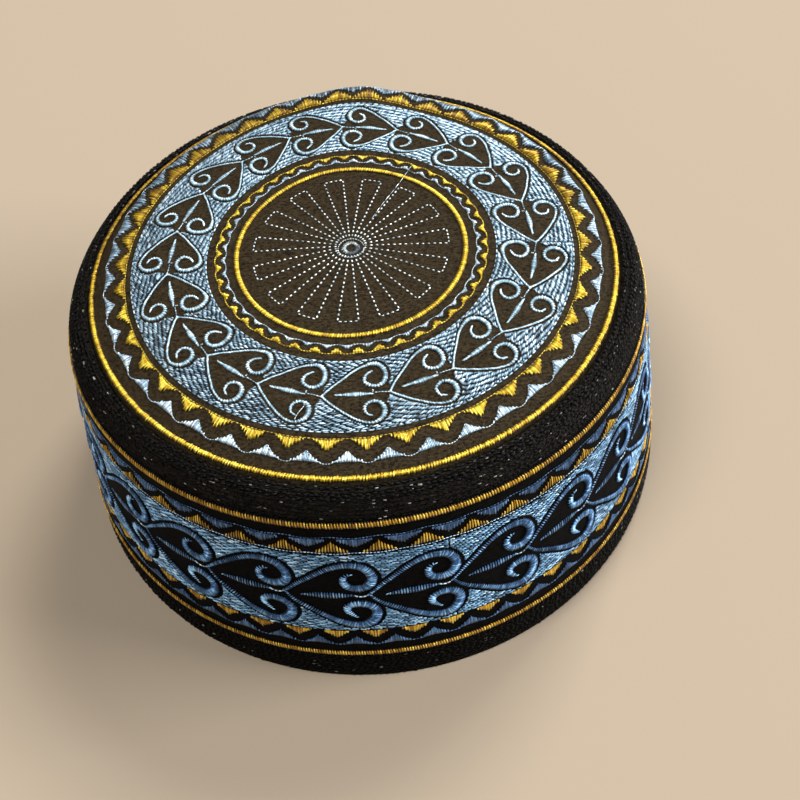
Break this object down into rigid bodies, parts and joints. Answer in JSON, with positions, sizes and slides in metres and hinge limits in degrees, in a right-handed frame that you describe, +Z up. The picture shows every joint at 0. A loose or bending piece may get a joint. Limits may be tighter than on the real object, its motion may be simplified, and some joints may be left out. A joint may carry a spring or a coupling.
{
  "type": "prayer cap",
  "caption": "Stiff round prayer cap with a slightly domed embroidered top, a rounded stitched edge and an embroidered wall that widens to a flat rim.",
  "frame": {"origin": "middle of the rim's plane, at the bottom of the cap", "axes": "+Z up through the middle of the top, -Y towards the front"},
  "size_m": [0.1882, 0.1882, 0.0831],
  "materials": {
    "crown_cloth": "dark brown satin-woven cloth",
    "edge_cloth": "dense black machine stitching",
    "side_cloth": "near-black satin-woven cloth",
    "hem_cloth": "black cloth with rows of machine stitching",
    "blue_thread": "shiny embroidery thread",
    "pale_thread": "shiny embroidery thread",
    "yellow_thread": "shiny embroidery thread",
    "black_thread": "slightly shiny sewing thread"
  },
  "bodies": {
    "root": {"crown_panel": "crown_cloth", "edge_roll": "edge_cloth", "side_band": "side_cloth", "hem_band": "hem_cloth"}
  },
  "joints": []
}
